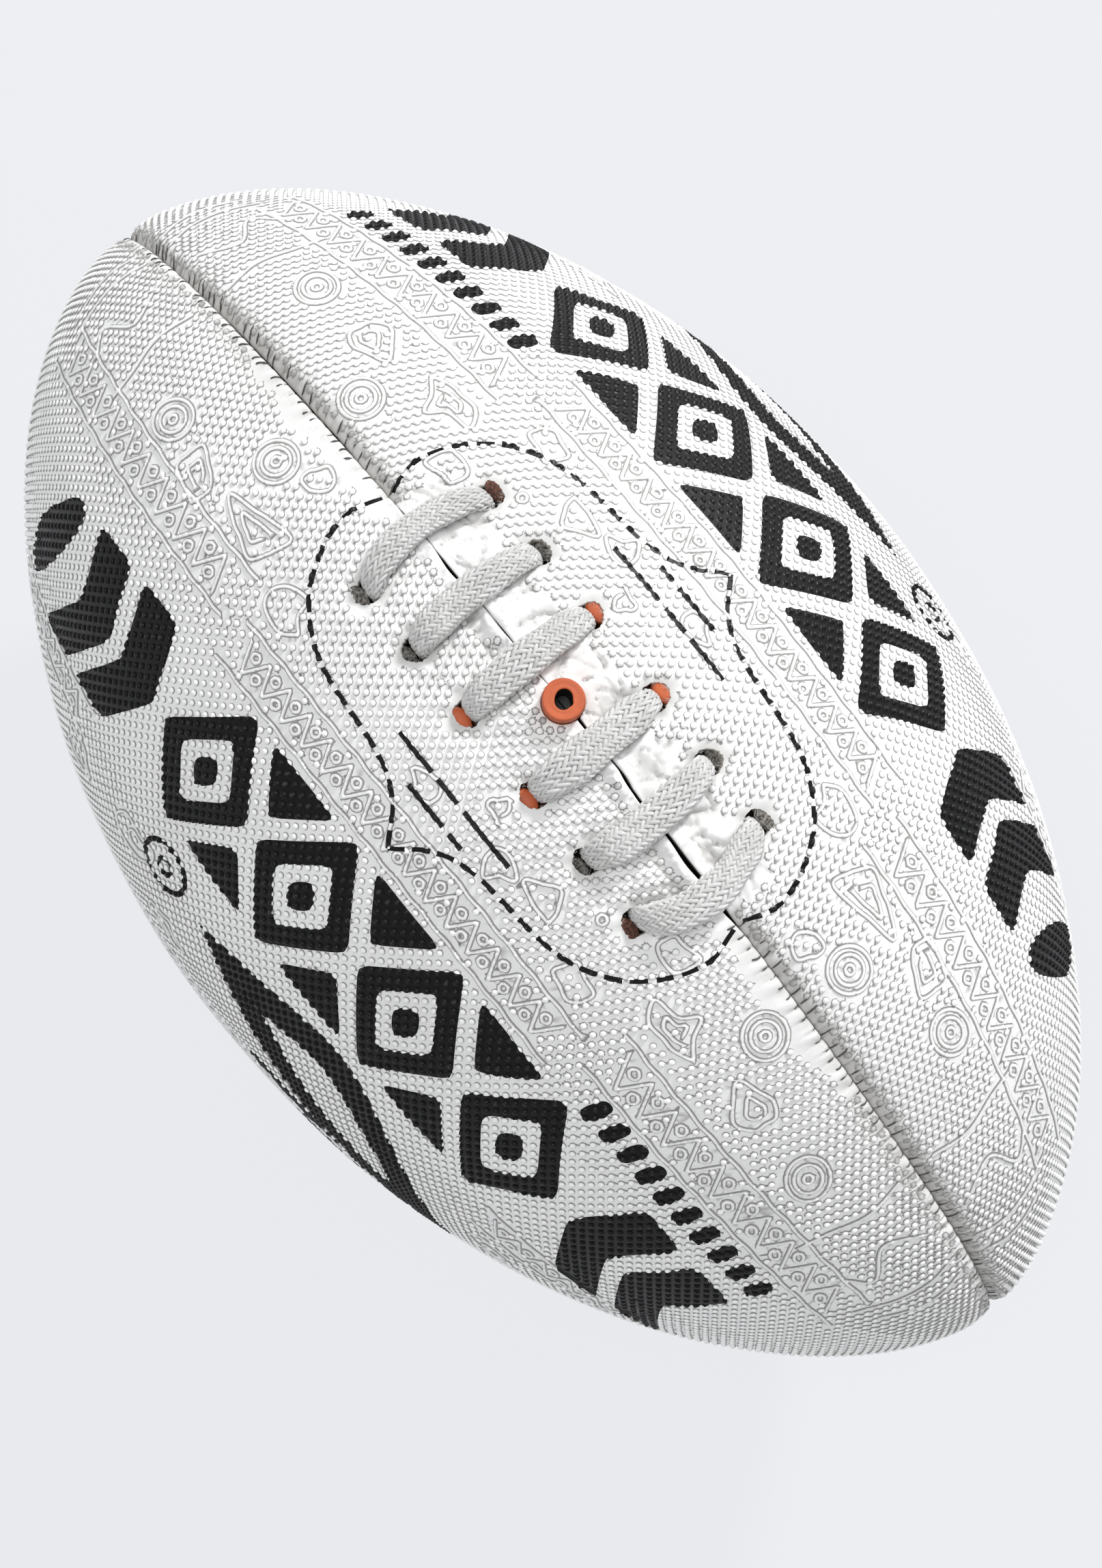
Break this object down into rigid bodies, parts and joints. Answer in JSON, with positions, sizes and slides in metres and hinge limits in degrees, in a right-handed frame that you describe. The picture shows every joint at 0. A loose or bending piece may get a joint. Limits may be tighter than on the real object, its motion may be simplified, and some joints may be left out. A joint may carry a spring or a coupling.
{
  "type": "australian rules football",
  "caption": "Pointed oval kicking football with a laced slit, a dimpled white cover sewn from gores, and a needle valve standing between the lace bars.",
  "frame": {"origin": "centre of the ball", "axes": "+X along the long axis, +Z out through the middle of the lacing and the valve, +Y across the lacing"},
  "size_m": [0.2896, 0.172, 0.1755],
  "materials": {
    "cover": "matt, pebbled",
    "lining": "woven, matt",
    "patch": "woven, matt",
    "bladder": "satin",
    "valve": "satin",
    "valve_core": "matt",
    "lace": "braided, matt",
    "thread": "waxed thread"
  },
  "bodies": {
    "root": {"cover_top_left": "cover", "cover_top_right": "cover", "cover_bottom_left": "cover", "cover_bottom_right": "cover", "ply_outer_top_left": "lining", "ply_outer_top_right": "lining", "ply_outer_bottom_left": "lining", "ply_outer_bottom_right": "lining", "ply_inner_top_left": "lining", "ply_inner_top_right": "lining", "ply_inner_bottom_left": "lining", "ply_inner_bottom_right": "lining", "lace_patch_left": "patch", "lace_patch_right": "patch", "bladder": "bladder", "valve_body": "valve", "valve_core": "valve_core", "lace": "lace", "stitches_top_front": "thread", "stitches_top_rear": "thread", "stitches_left": "thread", "stitches_right": "thread", "stitches_bottom": "thread"}
  },
  "joints": []
}
